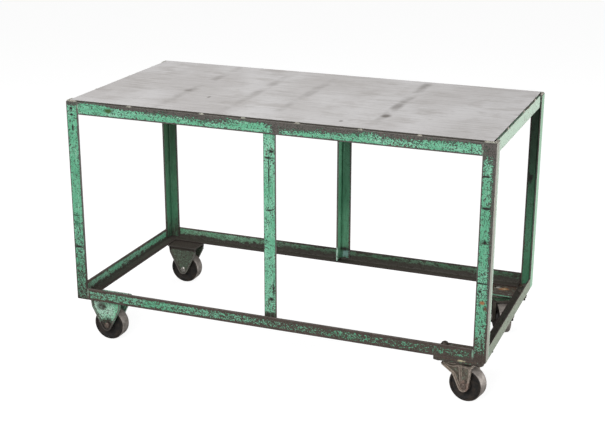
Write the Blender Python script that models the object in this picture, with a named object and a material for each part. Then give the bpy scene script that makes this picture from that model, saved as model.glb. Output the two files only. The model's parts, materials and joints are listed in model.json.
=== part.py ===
"""A shop rolling table: a welded angle-iron frame with a steel plate top, on four casters.

Metres, +Z up. The origin is on the floor below the middle of the table. X runs along the table, with the
swivel casters at the +X end, and Y runs across it, with the front at -Y.
"""

import math

import bmesh
import bpy
from mathutils import Matrix, Vector

# Driving dimensions of the frame
TABLE_LENGTH = 1.300
TABLE_WIDTH = 0.635
TABLE_HEIGHT = 0.773
FRAME_BOTTOM = 0.138
TOP_PLATE_THICKNESS = 0.0048
TOP_PLATE_INSET_END = 0.009
TOP_PLATE_INSET_SIDE = 0.003
TOP_END_RAIL_INSET = 0.006
ANGLE_LEG = 0.0381
ANGLE_THICKNESS = 0.0048
ANGLE_ROOT_RADIUS = 0.0036
ANGLE_TOE_RADIUS = 0.0019
GAP = 0.0003
FRONT_MIDDLE_POST_X = -0.0170
BACK_MIDDLE_POST_X = -0.0065

# Wheels and axles, the same in all four casters
WHEEL_RADIUS = 0.0508
WHEEL_HALF_WIDTH = 0.0190
WHEEL_ROUND_OVER = 0.003
RIM_DEPTH = 0.0075
HUB_HALF_WIDTH = 0.0220
HUB_RADIUS = 0.0190
WHEEL_DISH = 0.0045
SLEEVE_RADIUS = 0.0095
AXLE_RADIUS = 0.00635
AXLE_TIP = 0.0420
AXLE_HEAD_RADIUS = 0.0095
AXLE_HEAD_HEIGHT = 0.0045
AXLE_NUT_HEIGHT = 0.0090
AXLE_NUT_FLATS = 0.0095
CHAMFER = 0.001
CASTER_INSET_Y = 0.052
FORK_HALF_WIDTH = 0.030
AXLE_BOSS_RADIUS = 0.016

# Rigid casters, at the left end
RIGID_INSET_X = 0.088
RIGID_BASE = (0.110, 0.084)
RIGID_BASE_THICKNESS = 0.004
RIGID_SHEET = 0.0035
RIGID_RIM = 0.007
RIGID_TOP_HALF = 0.051
RIGID_SHOULDER_DROP = 0.026
RIGID_SHOULDER_STEP = 0.003
RIGID_LEAN = 28

# Swivel casters, at the right end
SWIVEL_INSET_X = 0.097
SWIVEL_TRAIL = 0.040
SWIVEL_PLATE_NEAR = 0.008
SWIVEL_PLATE_FAR = 0.153
SWIVEL_PLATE_DEPTH = 0.102
SWIVEL_PLATE_THICKNESS = 0.006
SWIVEL_HEADING_FRONT = math.radians(-11.5)
SWIVEL_HEADING_BACK = math.radians(300.0)
SWIVEL_SHEET = 0.005
SWIVEL_RIM = 0.005
SWIVEL_RIM_WIDTH = 0.004
CROWN_RADIUS = 0.041
CROWN_LOW_RADIUS = 0.031
CROWN_BOTTOM = 0.106
WEB_THICKNESS = 0.0073
KINGPIN_RADIUS = 0.008
KINGPIN_HEAD = 0.013
KINGPIN_HEAD_HEIGHT = 0.006
KINGPIN_RIVET_HEIGHT = 0.0045
BALL_RING_RADIUS = 0.028
BALL_RADIUS = 0.0028
RACE_CLEARANCE = 0.002
RACE_WALL = 0.003

# Plate bolts: distance from the table's end, and from its front or back face
PLATE_BOLTS = ((0.0195, 0.0195), (0.140, 0.0195), (0.0195, 0.088), (0.140, 0.088))
BOLT_RADIUS = 0.0048
BOLT_FLATS = 0.0085
BOLT_HEAD = 0.0058
NUT_HEIGHT = 0.0068
BOLT_THREAD_BEYOND_NUT = 0.0022

FRAME_TOP = TABLE_HEIGHT - TOP_PLATE_THICKNESS
HALF_LENGTH = TABLE_LENGTH / 2
HALF_WIDTH = TABLE_WIDTH / 2
CORNER_PLATE_TOP = FRAME_BOTTOM - GAP
CORNER_PLATE_BOTTOM = CORNER_PLATE_TOP - SWIVEL_PLATE_THICKNESS
CASTER_PLATE_TOP = CORNER_PLATE_BOTTOM - GAP
CASTER_PLATE_BOTTOM = CASTER_PLATE_TOP - SWIVEL_PLATE_THICKNESS
BALL_RING_Z = CASTER_PLATE_BOTTOM - GAP - BALL_RADIUS
CROWN_TOP = BALL_RING_Z - BALL_RADIUS - GAP
# How far a cutter runs past a face, and how deep joined shapes overlap
PAST = 0.010
OVERLAP = 0.001

X_AXIS = Vector((1, 0, 0))
Y_AXIS = Vector((0, 1, 0))
Z_AXIS = Vector((0, 0, 1))
WHEEL_SIDES = 36
TURN_SIDES = 28
PIN_SIDES = 16
HEX_SIDES = 18


def clear_scene():
    for obj in list(bpy.data.objects):
        bpy.data.objects.remove(obj, do_unlink=True)


def material(name, colour, roughness, metallic):
    made = bpy.data.materials.new(name)
    made.use_nodes = True
    shader = made.node_tree.nodes["Principled BSDF"]
    shader.inputs["Base Color"].default_value = (*colour, 1)
    shader.inputs["Roughness"].default_value = roughness
    shader.inputs["Metallic"].default_value = metallic
    made.diffuse_color = (*colour, 1)
    return made


# ---------------------------------------------------------------- making solids


def finish(mesh_data, name, look, place=None, smooth=False):
    """Turns a bmesh into an object of the scene, with its own material."""
    bmesh.ops.recalc_face_normals(mesh_data, faces=mesh_data.faces)
    mesh = bpy.data.meshes.new(name)
    mesh_data.to_mesh(mesh)
    mesh_data.free()
    obj = bpy.data.objects.new(name, mesh)
    bpy.context.scene.collection.objects.link(obj)
    if place is not None:
        obj.matrix_world = place
    if look is not None:
        mesh.materials.append(material(name, *look))
    if smooth:
        mesh.shade_smooth()
        mesh.set_sharp_from_angle(angle=math.radians(35))
    return obj


def prism(outline, low, high):
    """A straight prism: the outline in XY, from low to high along Z."""
    made = bmesh.new()
    base = [made.verts.new((x, y, low)) for x, y in outline]
    face = made.faces.new(base)
    raised = bmesh.ops.extrude_face_region(made, geom=[face])
    top = [v for v in raised["geom"] if isinstance(v, bmesh.types.BMVert)]
    bmesh.ops.translate(made, verts=top, vec=(0, 0, high - low))
    return made


def arc(centre, radius, start, end, steps):
    """Points on an arc, both ends included, with the angles in degrees."""
    points = []
    for i in range(steps + 1):
        angle = math.radians(start + (end - start) * i / steps)
        points.append((centre[0] + radius * math.cos(angle), centre[1] + radius * math.sin(angle)))
    return points


def rounded_rectangle(x_low, x_high, y_low, y_high, radius, steps=4):
    corners = (
        ((x_high - radius, y_high - radius), 0),
        ((x_low + radius, y_high - radius), 90),
        ((x_low + radius, y_low + radius), 180),
        ((x_high - radius, y_low + radius), 270),
    )
    outline = []
    for centre, start in corners:
        outline += arc(centre, radius, start, start + 90, steps)
    return outline


def skinned(rings, hollow):
    """Joins rings of points into a closed surface: a hollow one closes on itself, others get caps."""
    made = bmesh.new()
    loops = [[made.verts.new(point) for point in ring] for ring in rings]
    pairs = list(zip(loops, loops[1:]))
    if hollow:
        pairs.append((loops[-1], loops[0]))
    for lower, upper in pairs:
        sides = len(lower)
        for i in range(sides):
            j = (i + 1) % sides
            made.faces.new((lower[i], lower[j], upper[j], upper[i]))
    if not hollow:
        made.faces.new(list(reversed(loops[0])))
        made.faces.new(loops[-1])
    return made


def ring_points(reach, height, sides):
    """A ring about Z, where reach gives the distance from the axis at each angle."""
    points = []
    for i in range(sides):
        angle = 2 * math.pi * i / sides
        points.append((reach(angle) * math.cos(angle), reach(angle) * math.sin(angle), height))
    return points


def turned(profile, sides, hollow):
    """A solid of revolution about Z. The profile lists (radius, height)."""
    rings = [ring_points(lambda _, r=radius: r, height, sides) for radius, height in profile]
    return skinned(rings, hollow)


def hexagon_reach(flats):
    """How far the side of a hexagon, 2 x flats wide, is from its centre at each angle."""
    sector = math.radians(60)
    return lambda angle: flats / math.cos(angle % sector - sector / 2)


def hex_and_round(sections, sides, hollow):
    """Like turned, for (radius, height, is_hexagon), where a hexagon's radius is half its width."""
    rings = []
    for radius, height, is_hexagon in sections:
        reach = hexagon_reach(radius) if is_hexagon else lambda _, r=radius: r
        rings.append(ring_points(reach, height, sides))
    return skinned(rings, hollow)


def combine(obj, other, operation):
    """Adds an exact Boolean, and keeps the other shape out of the model."""
    other.hide_render = True
    other.display_type = "WIRE"
    modifier = obj.modifiers.new(other.name, "BOOLEAN")
    modifier.operation = operation
    modifier.solver = "EXACT"
    modifier.object = other


def helper(mesh_data, name, place=None):
    return finish(mesh_data, name, None, place)


def drill(obj, name, centre, radius, low, high):
    """Cuts an upright round hole through obj."""
    cutter = helper(
        turned(((radius, low), (radius, high)), PIN_SIDES, False),
        name,
        Matrix.Translation((centre[0], centre[1], 0)),
    )
    combine(obj, cutter, "DIFFERENCE")


def lying_along_y(origin, heading=0.0):
    """Places a shape made about Z with its axis along Y, turned by heading about the vertical."""
    turn = Matrix.Rotation(heading, 4, "Z") @ Matrix.Rotation(math.radians(90), 4, "X")
    return Matrix.Translation(origin) @ turn


# ---------------------------------------------------------------- frame

GREEN_PAINT = ((0.17, 0.48, 0.30), 0.45, 0.0)
WORN_PAINT = ((0.10, 0.20, 0.14), 0.55, 0.0)
BARE_PLATE = ((0.50, 0.49, 0.47), 0.50, 0.6)
DARK_STEEL = ((0.07, 0.065, 0.06), 0.55, 0.5)
CAST_IRON = ((0.035, 0.033, 0.032), 0.50, 0.3)
BRIGHT_STEEL = ((0.45, 0.44, 0.42), 0.35, 0.9)


def angle_outline(leg, thickness):
    """An equal angle's section, with its heel at the origin, a filleted root and rounded toes."""
    toe = ANGLE_TOE_RADIUS
    root = ANGLE_ROOT_RADIUS
    far = thickness + root
    outline = [(0, 0)]
    outline += arc((leg - toe, toe), toe, -90, 0, 2)
    outline += arc((leg - toe, thickness - toe), toe, 0, 90, 2)
    outline += arc((far, far), root, 270, 180, 3)
    outline += arc((thickness - toe, leg - toe), toe, 0, 90, 2)
    outline += arc((toe, leg - toe), toe, 90, 180, 2)
    merged = [outline[0]]
    for point in outline[1:]:
        if math.dist(point, merged[-1]) > 1e-6:
            merged.append(point)
    return merged


def angle_bar(name, look, start, along, first_leg, second_leg, length):
    """A length of angle iron, with its heel on the line that runs along it from start."""
    if first_leg.cross(second_leg).dot(along) < 0:
        first_leg, second_leg = second_leg, first_leg
    turn = Matrix((first_leg, second_leg, along)).transposed().to_4x4()
    place = Matrix.Translation(start) @ turn
    return finish(prism(angle_outline(ANGLE_LEG, ANGLE_THICKNESS), 0, length), name, look, place)


def make_posts():
    height = FRAME_TOP - FRAME_BOTTOM
    for side, y_sign in (("front", -1), ("back", 1)):
        for end, x_sign in (("left", -1), ("right", 1)):
            angle_bar(
                f"post_{side}_{end}",
                GREEN_PAINT,
                Vector((x_sign * HALF_LENGTH, y_sign * HALF_WIDTH, FRAME_BOTTOM)),
                Z_AXIS,
                -x_sign * X_AXIS,
                -y_sign * Y_AXIS,
                height,
            )


def make_middle_posts():
    """These stand inside the rails, clear of the fillets between each rail's two legs."""
    clearance = ANGLE_THICKNESS + ANGLE_ROOT_RADIUS
    low = FRAME_BOTTOM + clearance
    high = FRAME_TOP - clearance
    inside = HALF_WIDTH - ANGLE_THICKNESS - GAP
    for side, y_sign, x in (("front", -1, FRONT_MIDDLE_POST_X), ("back", 1, BACK_MIDDLE_POST_X)):
        angle_bar(
            f"post_{side}_middle",
            GREEN_PAINT,
            Vector((x, y_sign * inside, low)),
            Z_AXIS,
            X_AXIS,
            -y_sign * Y_AXIS,
            high - low,
        )


def make_rails():
    """Rails butt against the corner posts, with one leg upright outside and one flat inside.

    The top end rails stand a little further in than the posts' outer faces.
    """
    levels = (("top", FRAME_TOP, -Z_AXIS), ("bottom", FRAME_BOTTOM, Z_AXIS))
    for level, height, upright in levels:
        look = GREEN_PAINT if level == "top" else WORN_PAINT
        half = HALF_LENGTH - ANGLE_LEG - GAP
        for side, y_sign in (("front", -1), ("back", 1)):
            start = Vector((-half, y_sign * HALF_WIDTH, height))
            rail = angle_bar(
                f"{level}_rail_{side}", look, start, X_AXIS, upright, -y_sign * Y_AXIS, 2 * half
            )
            if level == "bottom":
                drill_for_bolts(rail, side)
        half = HALF_WIDTH - ANGLE_LEG - GAP
        reach = HALF_LENGTH - (TOP_END_RAIL_INSET if level == "top" else 0)
        for end, x_sign in (("left", -1), ("right", 1)):
            start = Vector((x_sign * reach, -half, height))
            rail = angle_bar(
                f"{level}_rail_{end}", look, start, Y_AXIS, upright, -x_sign * X_AXIS, 2 * half
            )
            if level == "bottom" and end == "right":
                drill_for_bolts(rail, "front")
                drill_for_bolts(rail, "back")


def bolt_centres(side):
    y_sign = -1 if side == "front" else 1
    return [(HALF_LENGTH - end, y_sign * (HALF_WIDTH - face)) for end, face in PLATE_BOLTS]


def rail_under(index):
    """True where the plate bolt with this index passes through a rail's flat leg."""
    return index in (1, 2)


def drill_for_bolts(rail, side):
    """The second bolt passes through the long rail's flat leg, and the third through the end rail's."""
    index = 2 if rail.name.endswith("right") else 1
    drill(
        rail,
        f"hole_{rail.name}_{side}",
        bolt_centres(side)[index],
        BOLT_RADIUS + GAP,
        FRAME_BOTTOM - PAST,
        FRAME_BOTTOM + ANGLE_THICKNESS + PAST,
    )


def make_top_plate():
    half_x = HALF_LENGTH - TOP_PLATE_INSET_END
    half_y = HALF_WIDTH - TOP_PLATE_INSET_SIDE
    outline = rounded_rectangle(-half_x, half_x, -half_y, half_y, 0.003, 2)
    finish(prism(outline, FRAME_TOP + GAP, TABLE_HEIGHT), "top_plate", BARE_PLATE)


# ---------------------------------------------------------------- wheels and axles


def wheel_profile():
    """A cast wheel: a rounded tread, dished sides and a hub, around a plain bore."""
    bore = SLEEVE_RADIUS + GAP
    corner = WHEEL_ROUND_OVER
    rim_inside = WHEEL_RADIUS - RIM_DEPTH
    side = WHEEL_HALF_WIDTH
    dish = side - WHEEL_DISH
    half = [
        (bore, HUB_HALF_WIDTH),
        (HUB_RADIUS, HUB_HALF_WIDTH),
        (HUB_RADIUS + corner / 2, dish),
        (rim_inside - corner, dish),
        (rim_inside, side),
        (WHEEL_RADIUS - corner, side),
        (WHEEL_RADIUS - 0.3 * corner, side - 0.3 * corner),
        (WHEEL_RADIUS, side - corner),
    ]
    return half + [(radius, -height) for radius, height in reversed(half)]


def axle_profile():
    """A headed axle bolt. The head is at the +Z end, and the threaded tip comes out of its nut."""
    seat = FORK_HALF_WIDTH + GAP
    head = AXLE_HEAD_RADIUS
    return (
        (AXLE_RADIUS - CHAMFER, -AXLE_TIP),
        (AXLE_RADIUS, CHAMFER - AXLE_TIP),
        (AXLE_RADIUS, seat),
        (head, seat),
        (head, seat + 0.4 * AXLE_HEAD_HEIGHT),
        (0.86 * head, seat + 0.75 * AXLE_HEAD_HEIGHT),
        (0.47 * head, seat + AXLE_HEAD_HEIGHT),
    )


def axle_nut_sections():
    high = -FORK_HALF_WIDTH - GAP
    low = high - AXLE_NUT_HEIGHT
    bore = AXLE_RADIUS + GAP
    return (
        (bore, low, False),
        (AXLE_NUT_FLATS - CHAMFER, low, False),
        (AXLE_NUT_FLATS, low + CHAMFER, True),
        (AXLE_NUT_FLATS, high, True),
        (bore, high, False),
    )


def sleeve_profile(sheet):
    """The tube that fits between the fork's legs, so that the axle nut can clamp them."""
    half = FORK_HALF_WIDTH - sheet - GAP
    bore = AXLE_RADIUS + GAP
    return ((bore, -half), (SLEEVE_RADIUS, -half), (SLEEVE_RADIUS, half), (bore, half))


def make_wheel_set(kind, side, centre, heading):
    """The wheel, and the sleeve, axle and nut that it turns on. The axle's head is on the -Y side."""
    place = lying_along_y(centre, heading)
    sheet = RIGID_SHEET if kind == "rigid" else SWIVEL_SHEET
    wheel = turned(wheel_profile(), WHEEL_SIDES, True)
    sleeve = turned(sleeve_profile(sheet), PIN_SIDES, True)
    axle = turned(axle_profile(), PIN_SIDES, False)
    nut = hex_and_round(axle_nut_sections(), HEX_SIDES, True)
    finish(wheel, f"{kind}_wheel_{side}", CAST_IRON, place, True)
    finish(sleeve, f"{kind}_axle_sleeve_{side}", BRIGHT_STEEL, place, True)
    finish(axle, f"{kind}_axle_{side}", BRIGHT_STEEL, place, True)
    finish(nut, f"{kind}_axle_nut_{side}", DARK_STEEL, place)


def axle_bore(name, place):
    """A cutter for the axle's hole through both legs of a fork."""
    radius = AXLE_RADIUS + GAP
    reach = FORK_HALF_WIDTH + PAST
    cutter = turned(((radius, -reach), (radius, reach)), PIN_SIDES, False)
    return helper(cutter, f"{name}_axle_bore", place)


def add_rim(fork, name, place, outer_outline, inner_outline, sign, depth):
    """Adds a turned-out rim to one leg: the leg's outline less a smaller one, standing out by depth."""
    outer = FORK_HALF_WIDTH
    low, high = sorted((sign * (outer - OVERLAP), sign * (outer + depth)))
    rim = helper(prism(outer_outline, low, high), f"{name}_rim", place)
    low, high = sorted((sign * (outer - 1.2 * OVERLAP), sign * (outer + depth + OVERLAP)))
    combine(rim, helper(prism(inner_outline, low, high), f"{name}_hollow", place), "DIFFERENCE")
    combine(fork, rim, "UNION")


# ---------------------------------------------------------------- rigid casters


def rigid_leg_outline(inset):
    """A leg's outline in X and Z about the axle, drawn in by inset: wide on top, round below."""
    top = FRAME_BOTTOM - GAP - WHEEL_RADIUS
    shoulder = top - RIGID_SHOULDER_DROP
    wide = RIGID_TOP_HALF - inset
    narrower = wide - RIGID_SHOULDER_STEP
    foot = arc((0, 0), AXLE_BOSS_RADIUS - inset, 180 + RIGID_LEAN, 360 - RIGID_LEAN, 8)
    return [(wide, top), (-wide, top), (-narrower, shoulder)] + foot + [(narrower, shoulder)]


def make_rigid_fork(side, centre):
    """A pressed-steel fork: a base plate and two legs with a turned-out rim around them."""
    name = f"rigid_fork_{side}"
    half_x = RIGID_BASE[0] / 2
    half_y = RIGID_BASE[1] / 2
    base_top = FRAME_BOTTOM - GAP - WHEEL_RADIUS
    outline = rounded_rectangle(-half_x, half_x, -half_y, half_y, 0.008, 3)
    base = prism(outline, base_top - RIGID_BASE_THICKNESS, base_top)
    fork = finish(base, name, GREEN_PAINT, Matrix.Translation(centre), True)
    place = lying_along_y(centre)
    for label, sign in (("near", 1), ("far", -1)):
        low, high = sorted((sign * FORK_HALF_WIDTH, sign * (FORK_HALF_WIDTH - RIGID_SHEET)))
        leg = helper(prism(rigid_leg_outline(0), low, high), f"{name}_{label}_leg", place)
        combine(fork, leg, "UNION")
        inner = rigid_leg_outline(RIGID_SHEET)
        add_rim(fork, f"{name}_{label}", place, rigid_leg_outline(0), inner, sign, RIGID_RIM)
    combine(fork, axle_bore(name, place), "DIFFERENCE")


# ---------------------------------------------------------------- swivel casters


def swivel_plate_outline(side):
    """The outline of both plates, just inside the frame's outer face and close to its end."""
    y_sign = -1 if side == "front" else 1
    near, far = sorted((y_sign * (HALF_WIDTH - OVERLAP), y_sign * (HALF_WIDTH - SWIVEL_PLATE_DEPTH)))
    return rounded_rectangle(
        HALF_LENGTH - SWIVEL_PLATE_FAR, HALF_LENGTH - SWIVEL_PLATE_NEAR, near, far, 0.010, 3
    )


def drill_plate(plate, side, axis, middle_radius, low, high):
    """The hole on the swivel axis, and the four bolt holes."""
    drill(plate, f"{plate.name}_middle_hole", axis, middle_radius, low - PAST, high + PAST)
    for index, centre in enumerate(bolt_centres(side), 1):
        drill(plate, f"{plate.name}_hole_{index}", centre, BOLT_RADIUS + GAP, low - PAST, high + PAST)


def make_corner_plate(side, axis):
    """The plate that ties the corner together, under the rails and above the caster's own plate."""
    made = prism(swivel_plate_outline(side), CORNER_PLATE_BOTTOM, CORNER_PLATE_TOP)
    plate = finish(made, f"corner_plate_{side}", WORN_PAINT)
    drill_plate(plate, side, axis, KINGPIN_HEAD + CHAMFER, CORNER_PLATE_BOTTOM, CORNER_PLATE_TOP)


def make_swivel_top_plate(side, axis):
    """The caster's own plate, with the pressed cup that keeps the balls in."""
    name = f"swivel_top_plate_{side}"
    made = prism(swivel_plate_outline(side), CASTER_PLATE_BOTTOM, CASTER_PLATE_TOP)
    plate = finish(made, name, WORN_PAINT)
    inside = BALL_RING_RADIUS + BALL_RADIUS + RACE_CLEARANCE
    low = CROWN_TOP + OVERLAP
    high = CASTER_PLATE_BOTTOM + OVERLAP
    profile = ((inside, low), (inside + RACE_WALL, low), (inside + 2 * RACE_WALL, high), (inside, high))
    place = Matrix.Translation((axis[0], axis[1], 0))
    combine(plate, helper(turned(profile, TURN_SIDES, True), f"race_cup_{side}", place), "UNION")
    drill_plate(plate, side, axis, KINGPIN_RADIUS + GAP, CASTER_PLATE_BOTTOM, CASTER_PLATE_TOP)


def make_ball_ring(side, axis):
    """The row of balls, packed in grease, as one ring between the plate and the fork's crown."""
    profile = arc((BALL_RING_RADIUS, BALL_RING_Z), BALL_RADIUS, 0, 300, 5)
    place = Matrix.Translation((axis[0], axis[1], 0))
    finish(turned(profile, TURN_SIDES, True), f"swivel_ball_ring_{side}", BRIGHT_STEEL, place, True)


def make_kingpin(side, axis):
    """The pin that holds the fork to the plate: a head below the fork, a riveted end above."""
    head_top = CROWN_BOTTOM - GAP
    head_low = head_top - KINGPIN_HEAD_HEIGHT
    seat = CASTER_PLATE_TOP + GAP
    rivet = KINGPIN_HEAD - 1.5 * CHAMFER
    profile = (
        (0.7 * KINGPIN_HEAD, head_low),
        (KINGPIN_HEAD, head_low + 2 * CHAMFER),
        (KINGPIN_HEAD, head_top),
        (KINGPIN_RADIUS, head_top),
        (KINGPIN_RADIUS, seat),
        (rivet, seat),
        (rivet, seat + 2 * CHAMFER),
        (0.6 * rivet, seat + KINGPIN_RIVET_HEIGHT),
    )
    made = turned(profile, PIN_SIDES, False)
    finish(made, f"swivel_kingpin_{side}", BRIGHT_STEEL, Matrix.Translation((axis[0], axis[1], 0)), True)


def swivel_leg_outline(inset):
    """A leg's outline in X and height about the swivel axis: raked in front, round at the axle."""
    front_top = 0.061
    front_knee = (0.060, 0.080)
    back_top = -0.030
    back_shoulder = (-0.028, CROWN_BOTTOM - 0.002)
    back_knee = (0.006, 0.084)
    top = CROWN_BOTTOM + 0.004
    foot = arc((SWIVEL_TRAIL, WHEEL_RADIUS), AXLE_BOSS_RADIUS - inset, 195, 360, 8)
    return [
        (front_top - inset, top),
        (back_top + inset, top),
        (back_shoulder[0] + 1.6 * inset, back_shoulder[1]),
        (back_knee[0] + 1.3 * inset, back_knee[1]),
        *foot,
        (front_knee[0] - inset, front_knee[1]),
    ]


def crown_profile():
    return (
        (CROWN_LOW_RADIUS, CROWN_BOTTOM),
        (CROWN_RADIUS - CHAMFER, CROWN_TOP - 4 * CHAMFER),
        (CROWN_RADIUS, CROWN_TOP - 2 * CHAMFER),
        (CROWN_RADIUS - CHAMFER, CROWN_TOP),
    )


def add_swivel_leg(fork, name, upright, sign):
    """A leg, its turned-out rim and the rib that runs up it from the axle to the crown."""
    low, high = sorted((sign * FORK_HALF_WIDTH, sign * (FORK_HALF_WIDTH - SWIVEL_SHEET)))
    combine(fork, helper(prism(swivel_leg_outline(0), low, high), f"{name}_leg", upright), "UNION")
    inner = swivel_leg_outline(SWIVEL_RIM_WIDTH)
    add_rim(fork, name, upright, swivel_leg_outline(0), inner, sign, SWIVEL_RIM)
    rib_low = (0.032, WHEEL_RADIUS + AXLE_BOSS_RADIUS)
    rib_high = (0.027, CROWN_BOTTOM + 0.003)
    half = 0.0015
    outline = (
        (rib_low[0] - half, rib_low[1]),
        (rib_low[0] + half, rib_low[1]),
        (rib_high[0] + half, rib_high[1]),
        (rib_high[0] - half, rib_high[1]),
    )
    low, high = sorted((sign * (FORK_HALF_WIDTH - OVERLAP), sign * (FORK_HALF_WIDTH + SWIVEL_RIM)))
    combine(fork, helper(prism(outline, low, high), f"{name}_rib", upright), "UNION")


def make_swivel_fork(side, axis, heading):
    """The yoke: a conical crown on the swivel axis, a web over the wheel, and two ribbed legs."""
    name = f"swivel_fork_{side}"
    place = Matrix.Translation((axis[0], axis[1], 0)) @ Matrix.Rotation(heading, 4, "Z")
    fork = finish(turned(crown_profile(), TURN_SIDES, False), name, WORN_PAINT, place, True)
    half_y = FORK_HALF_WIDTH - 0.2 * OVERLAP
    web_low = CROWN_BOTTOM + 0.2 * OVERLAP
    web_outline = rounded_rectangle(-0.020, 0.0605, -half_y, half_y, 0.012, 3)
    web = prism(web_outline, web_low, web_low + WEB_THICKNESS)
    combine(fork, helper(web, f"{name}_web", place), "UNION")
    upright = place @ Matrix.Rotation(math.radians(90), 4, "X")
    add_swivel_leg(fork, f"{name}_near", upright, 1)
    add_swivel_leg(fork, f"{name}_far", upright, -1)
    radius = KINGPIN_RADIUS + GAP
    kingpin = turned(((radius, CROWN_BOTTOM - PAST), (radius, CROWN_TOP + PAST)), PIN_SIDES, False)
    combine(fork, helper(kingpin, f"{name}_kingpin_bore", place), "DIFFERENCE")
    axle_place = lying_along_y(place @ Vector((SWIVEL_TRAIL, 0, WHEEL_RADIUS)), heading)
    combine(fork, axle_bore(name, axle_place), "DIFFERENCE")


def plate_bolt_sections(tip):
    head_top = CASTER_PLATE_BOTTOM - GAP
    head_low = head_top - BOLT_HEAD
    return (
        (BOLT_FLATS - CHAMFER, head_low, False),
        (BOLT_FLATS, head_low + CHAMFER, True),
        (BOLT_FLATS, head_top, True),
        (BOLT_RADIUS, head_top, False),
        (BOLT_RADIUS, tip - CHAMFER, False),
        (BOLT_RADIUS - CHAMFER, tip, False),
    )


def plate_nut_sections(low, high):
    bore = BOLT_RADIUS + GAP
    return (
        (bore, low, False),
        (BOLT_FLATS, low, True),
        (BOLT_FLATS, high - CHAMFER, True),
        (BOLT_FLATS - CHAMFER, high, False),
        (bore, high, False),
    )


def make_plate_bolts(side):
    """Four bolts hold each swivel caster, with their heads below and their nuts above."""
    for index, (x, y) in enumerate(bolt_centres(side)):
        seat = FRAME_BOTTOM + ANGLE_THICKNESS if rail_under(index) else CORNER_PLATE_TOP
        nut_low = seat + GAP
        nut_high = nut_low + NUT_HEIGHT
        place = Matrix.Translation((x, y, 0))
        bolt = hex_and_round(plate_bolt_sections(nut_high + BOLT_THREAD_BEYOND_NUT), HEX_SIDES, False)
        nut = hex_and_round(plate_nut_sections(nut_low, nut_high), HEX_SIDES, True)
        finish(bolt, f"plate_bolt_{side}_{index + 1}", DARK_STEEL, place)
        finish(nut, f"plate_nut_{side}_{index + 1}", DARK_STEEL, place)


def make_casters():
    sides = (("front", -1, SWIVEL_HEADING_FRONT), ("back", 1, SWIVEL_HEADING_BACK))
    for side, y_sign, heading in sides:
        y = y_sign * (HALF_WIDTH - CASTER_INSET_Y)
        rigid_centre = Vector((-HALF_LENGTH + RIGID_INSET_X, y, WHEEL_RADIUS))
        make_rigid_fork(side, rigid_centre)
        make_wheel_set("rigid", side, rigid_centre, 0)
        axis = Vector((HALF_LENGTH - SWIVEL_INSET_X, y, 0))
        make_corner_plate(side, axis)
        make_swivel_top_plate(side, axis)
        make_ball_ring(side, axis)
        make_kingpin(side, axis)
        make_swivel_fork(side, axis, heading)
        trail = Vector((math.cos(heading), math.sin(heading), 0)) * SWIVEL_TRAIL
        make_wheel_set("swivel", side, axis + trail + Vector((0, 0, WHEEL_RADIUS)), heading)
        make_plate_bolts(side)


def main():
    clear_scene()
    make_posts()
    make_middle_posts()
    make_rails()
    make_top_plate()
    make_casters()


main()
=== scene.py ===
"""The looks of the rolling work table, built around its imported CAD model, in metres.

Angle-iron bars, the steel plate, the casters and their fasteners get finer meshes that stand for the
CAD nodes, weld beads and a few more bolts are added, and every surface gets a procedural material:
chipped and rubbed green paint, grimy enamel, bare plate, cast iron and steel.
"""

import json
import math
import random

import bmesh
import bpy
import numpy as np
from mathutils import Matrix, Vector
from mathutils.kdtree import KDTree


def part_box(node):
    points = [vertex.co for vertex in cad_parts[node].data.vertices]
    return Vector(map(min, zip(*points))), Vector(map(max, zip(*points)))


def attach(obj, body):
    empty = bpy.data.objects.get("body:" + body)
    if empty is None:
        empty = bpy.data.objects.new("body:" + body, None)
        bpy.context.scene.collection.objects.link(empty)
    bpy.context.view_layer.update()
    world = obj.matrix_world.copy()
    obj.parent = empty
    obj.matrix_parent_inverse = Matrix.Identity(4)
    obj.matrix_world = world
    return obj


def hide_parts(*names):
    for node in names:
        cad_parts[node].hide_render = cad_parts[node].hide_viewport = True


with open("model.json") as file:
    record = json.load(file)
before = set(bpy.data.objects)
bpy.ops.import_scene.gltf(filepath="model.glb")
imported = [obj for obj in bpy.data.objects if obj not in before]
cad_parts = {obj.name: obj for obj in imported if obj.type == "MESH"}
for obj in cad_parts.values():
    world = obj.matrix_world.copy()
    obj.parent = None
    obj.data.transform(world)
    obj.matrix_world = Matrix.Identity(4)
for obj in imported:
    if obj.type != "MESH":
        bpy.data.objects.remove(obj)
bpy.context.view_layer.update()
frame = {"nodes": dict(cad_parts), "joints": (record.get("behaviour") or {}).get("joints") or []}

NODES = frame["nodes"]
JOINTS = {joint["name"]: joint for joint in frame["joints"]}

# Driving sizes of the table, read from the frame
POST_LOW, POST_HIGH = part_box("post_front_left")
PLATE_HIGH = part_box("top_plate")[1]
HALF_LENGTH = -POST_LOW.x
HALF_WIDTH = -POST_LOW.y
FRAME_BOTTOM = POST_LOW.z
FRAME_TOP = POST_HIGH.z
LEG = POST_HIGH.x - POST_LOW.x
TOP_END_INSET = HALF_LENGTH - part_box("top_rail_right")[1].x
BOTTOM_END_INSET = HALF_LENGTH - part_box("bottom_rail_right")[1].x

# The angle iron's section
THICKNESS = 0.0048
TOE_RADIUS = 0.0019
ROOT_RADIUS = 0.0036
HEEL_RADIUS = 0.0008
END_CHAMFER = 0.0005

# ---------------------------------------------------------------- colours


def tone(red, green, blue):
    """A colour given as it looks on a screen, 0 to 255, turned into the linear one that shaders use."""
    def linear(value):
        value /= 255
        return value / 12.92 if value <= 0.04045 else ((value + 0.055) / 1.055) ** 2.4

    return (linear(red), linear(green), linear(blue), 1.0)


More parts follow.
